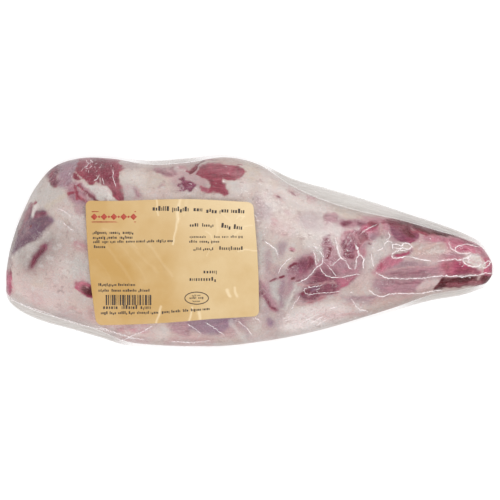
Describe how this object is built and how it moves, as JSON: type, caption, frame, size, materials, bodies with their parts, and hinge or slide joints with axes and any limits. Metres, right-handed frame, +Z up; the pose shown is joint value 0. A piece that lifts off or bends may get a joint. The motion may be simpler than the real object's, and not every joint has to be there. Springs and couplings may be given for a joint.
{
  "type": "vacuum-packed raw leg of lamb",
  "caption": "Raw leg of lamb lying on its side, wide thigh tapering to the shank, in tight clear shrink film with a curved paper label stuck on top.",
  "frame": {"origin": "middle of the bounding box on the plane that the pack lies on", "axes": "+X along the leg from the cut thigh towards the shank, +Z up, through the labelled side, and +Y towards the side with the wide web of film"},
  "size_m": [0.334, 0.1308, 0.0625],
  "materials": {
    "packed_meat": "raw meat and white fat under tight clear glossy film",
    "label_paper": "smooth yellow label paper with dark print"
  },
  "bodies": {
    "root": {"sealed_bag": "packed_meat", "label": "label_paper"}
  },
  "joints": []
}
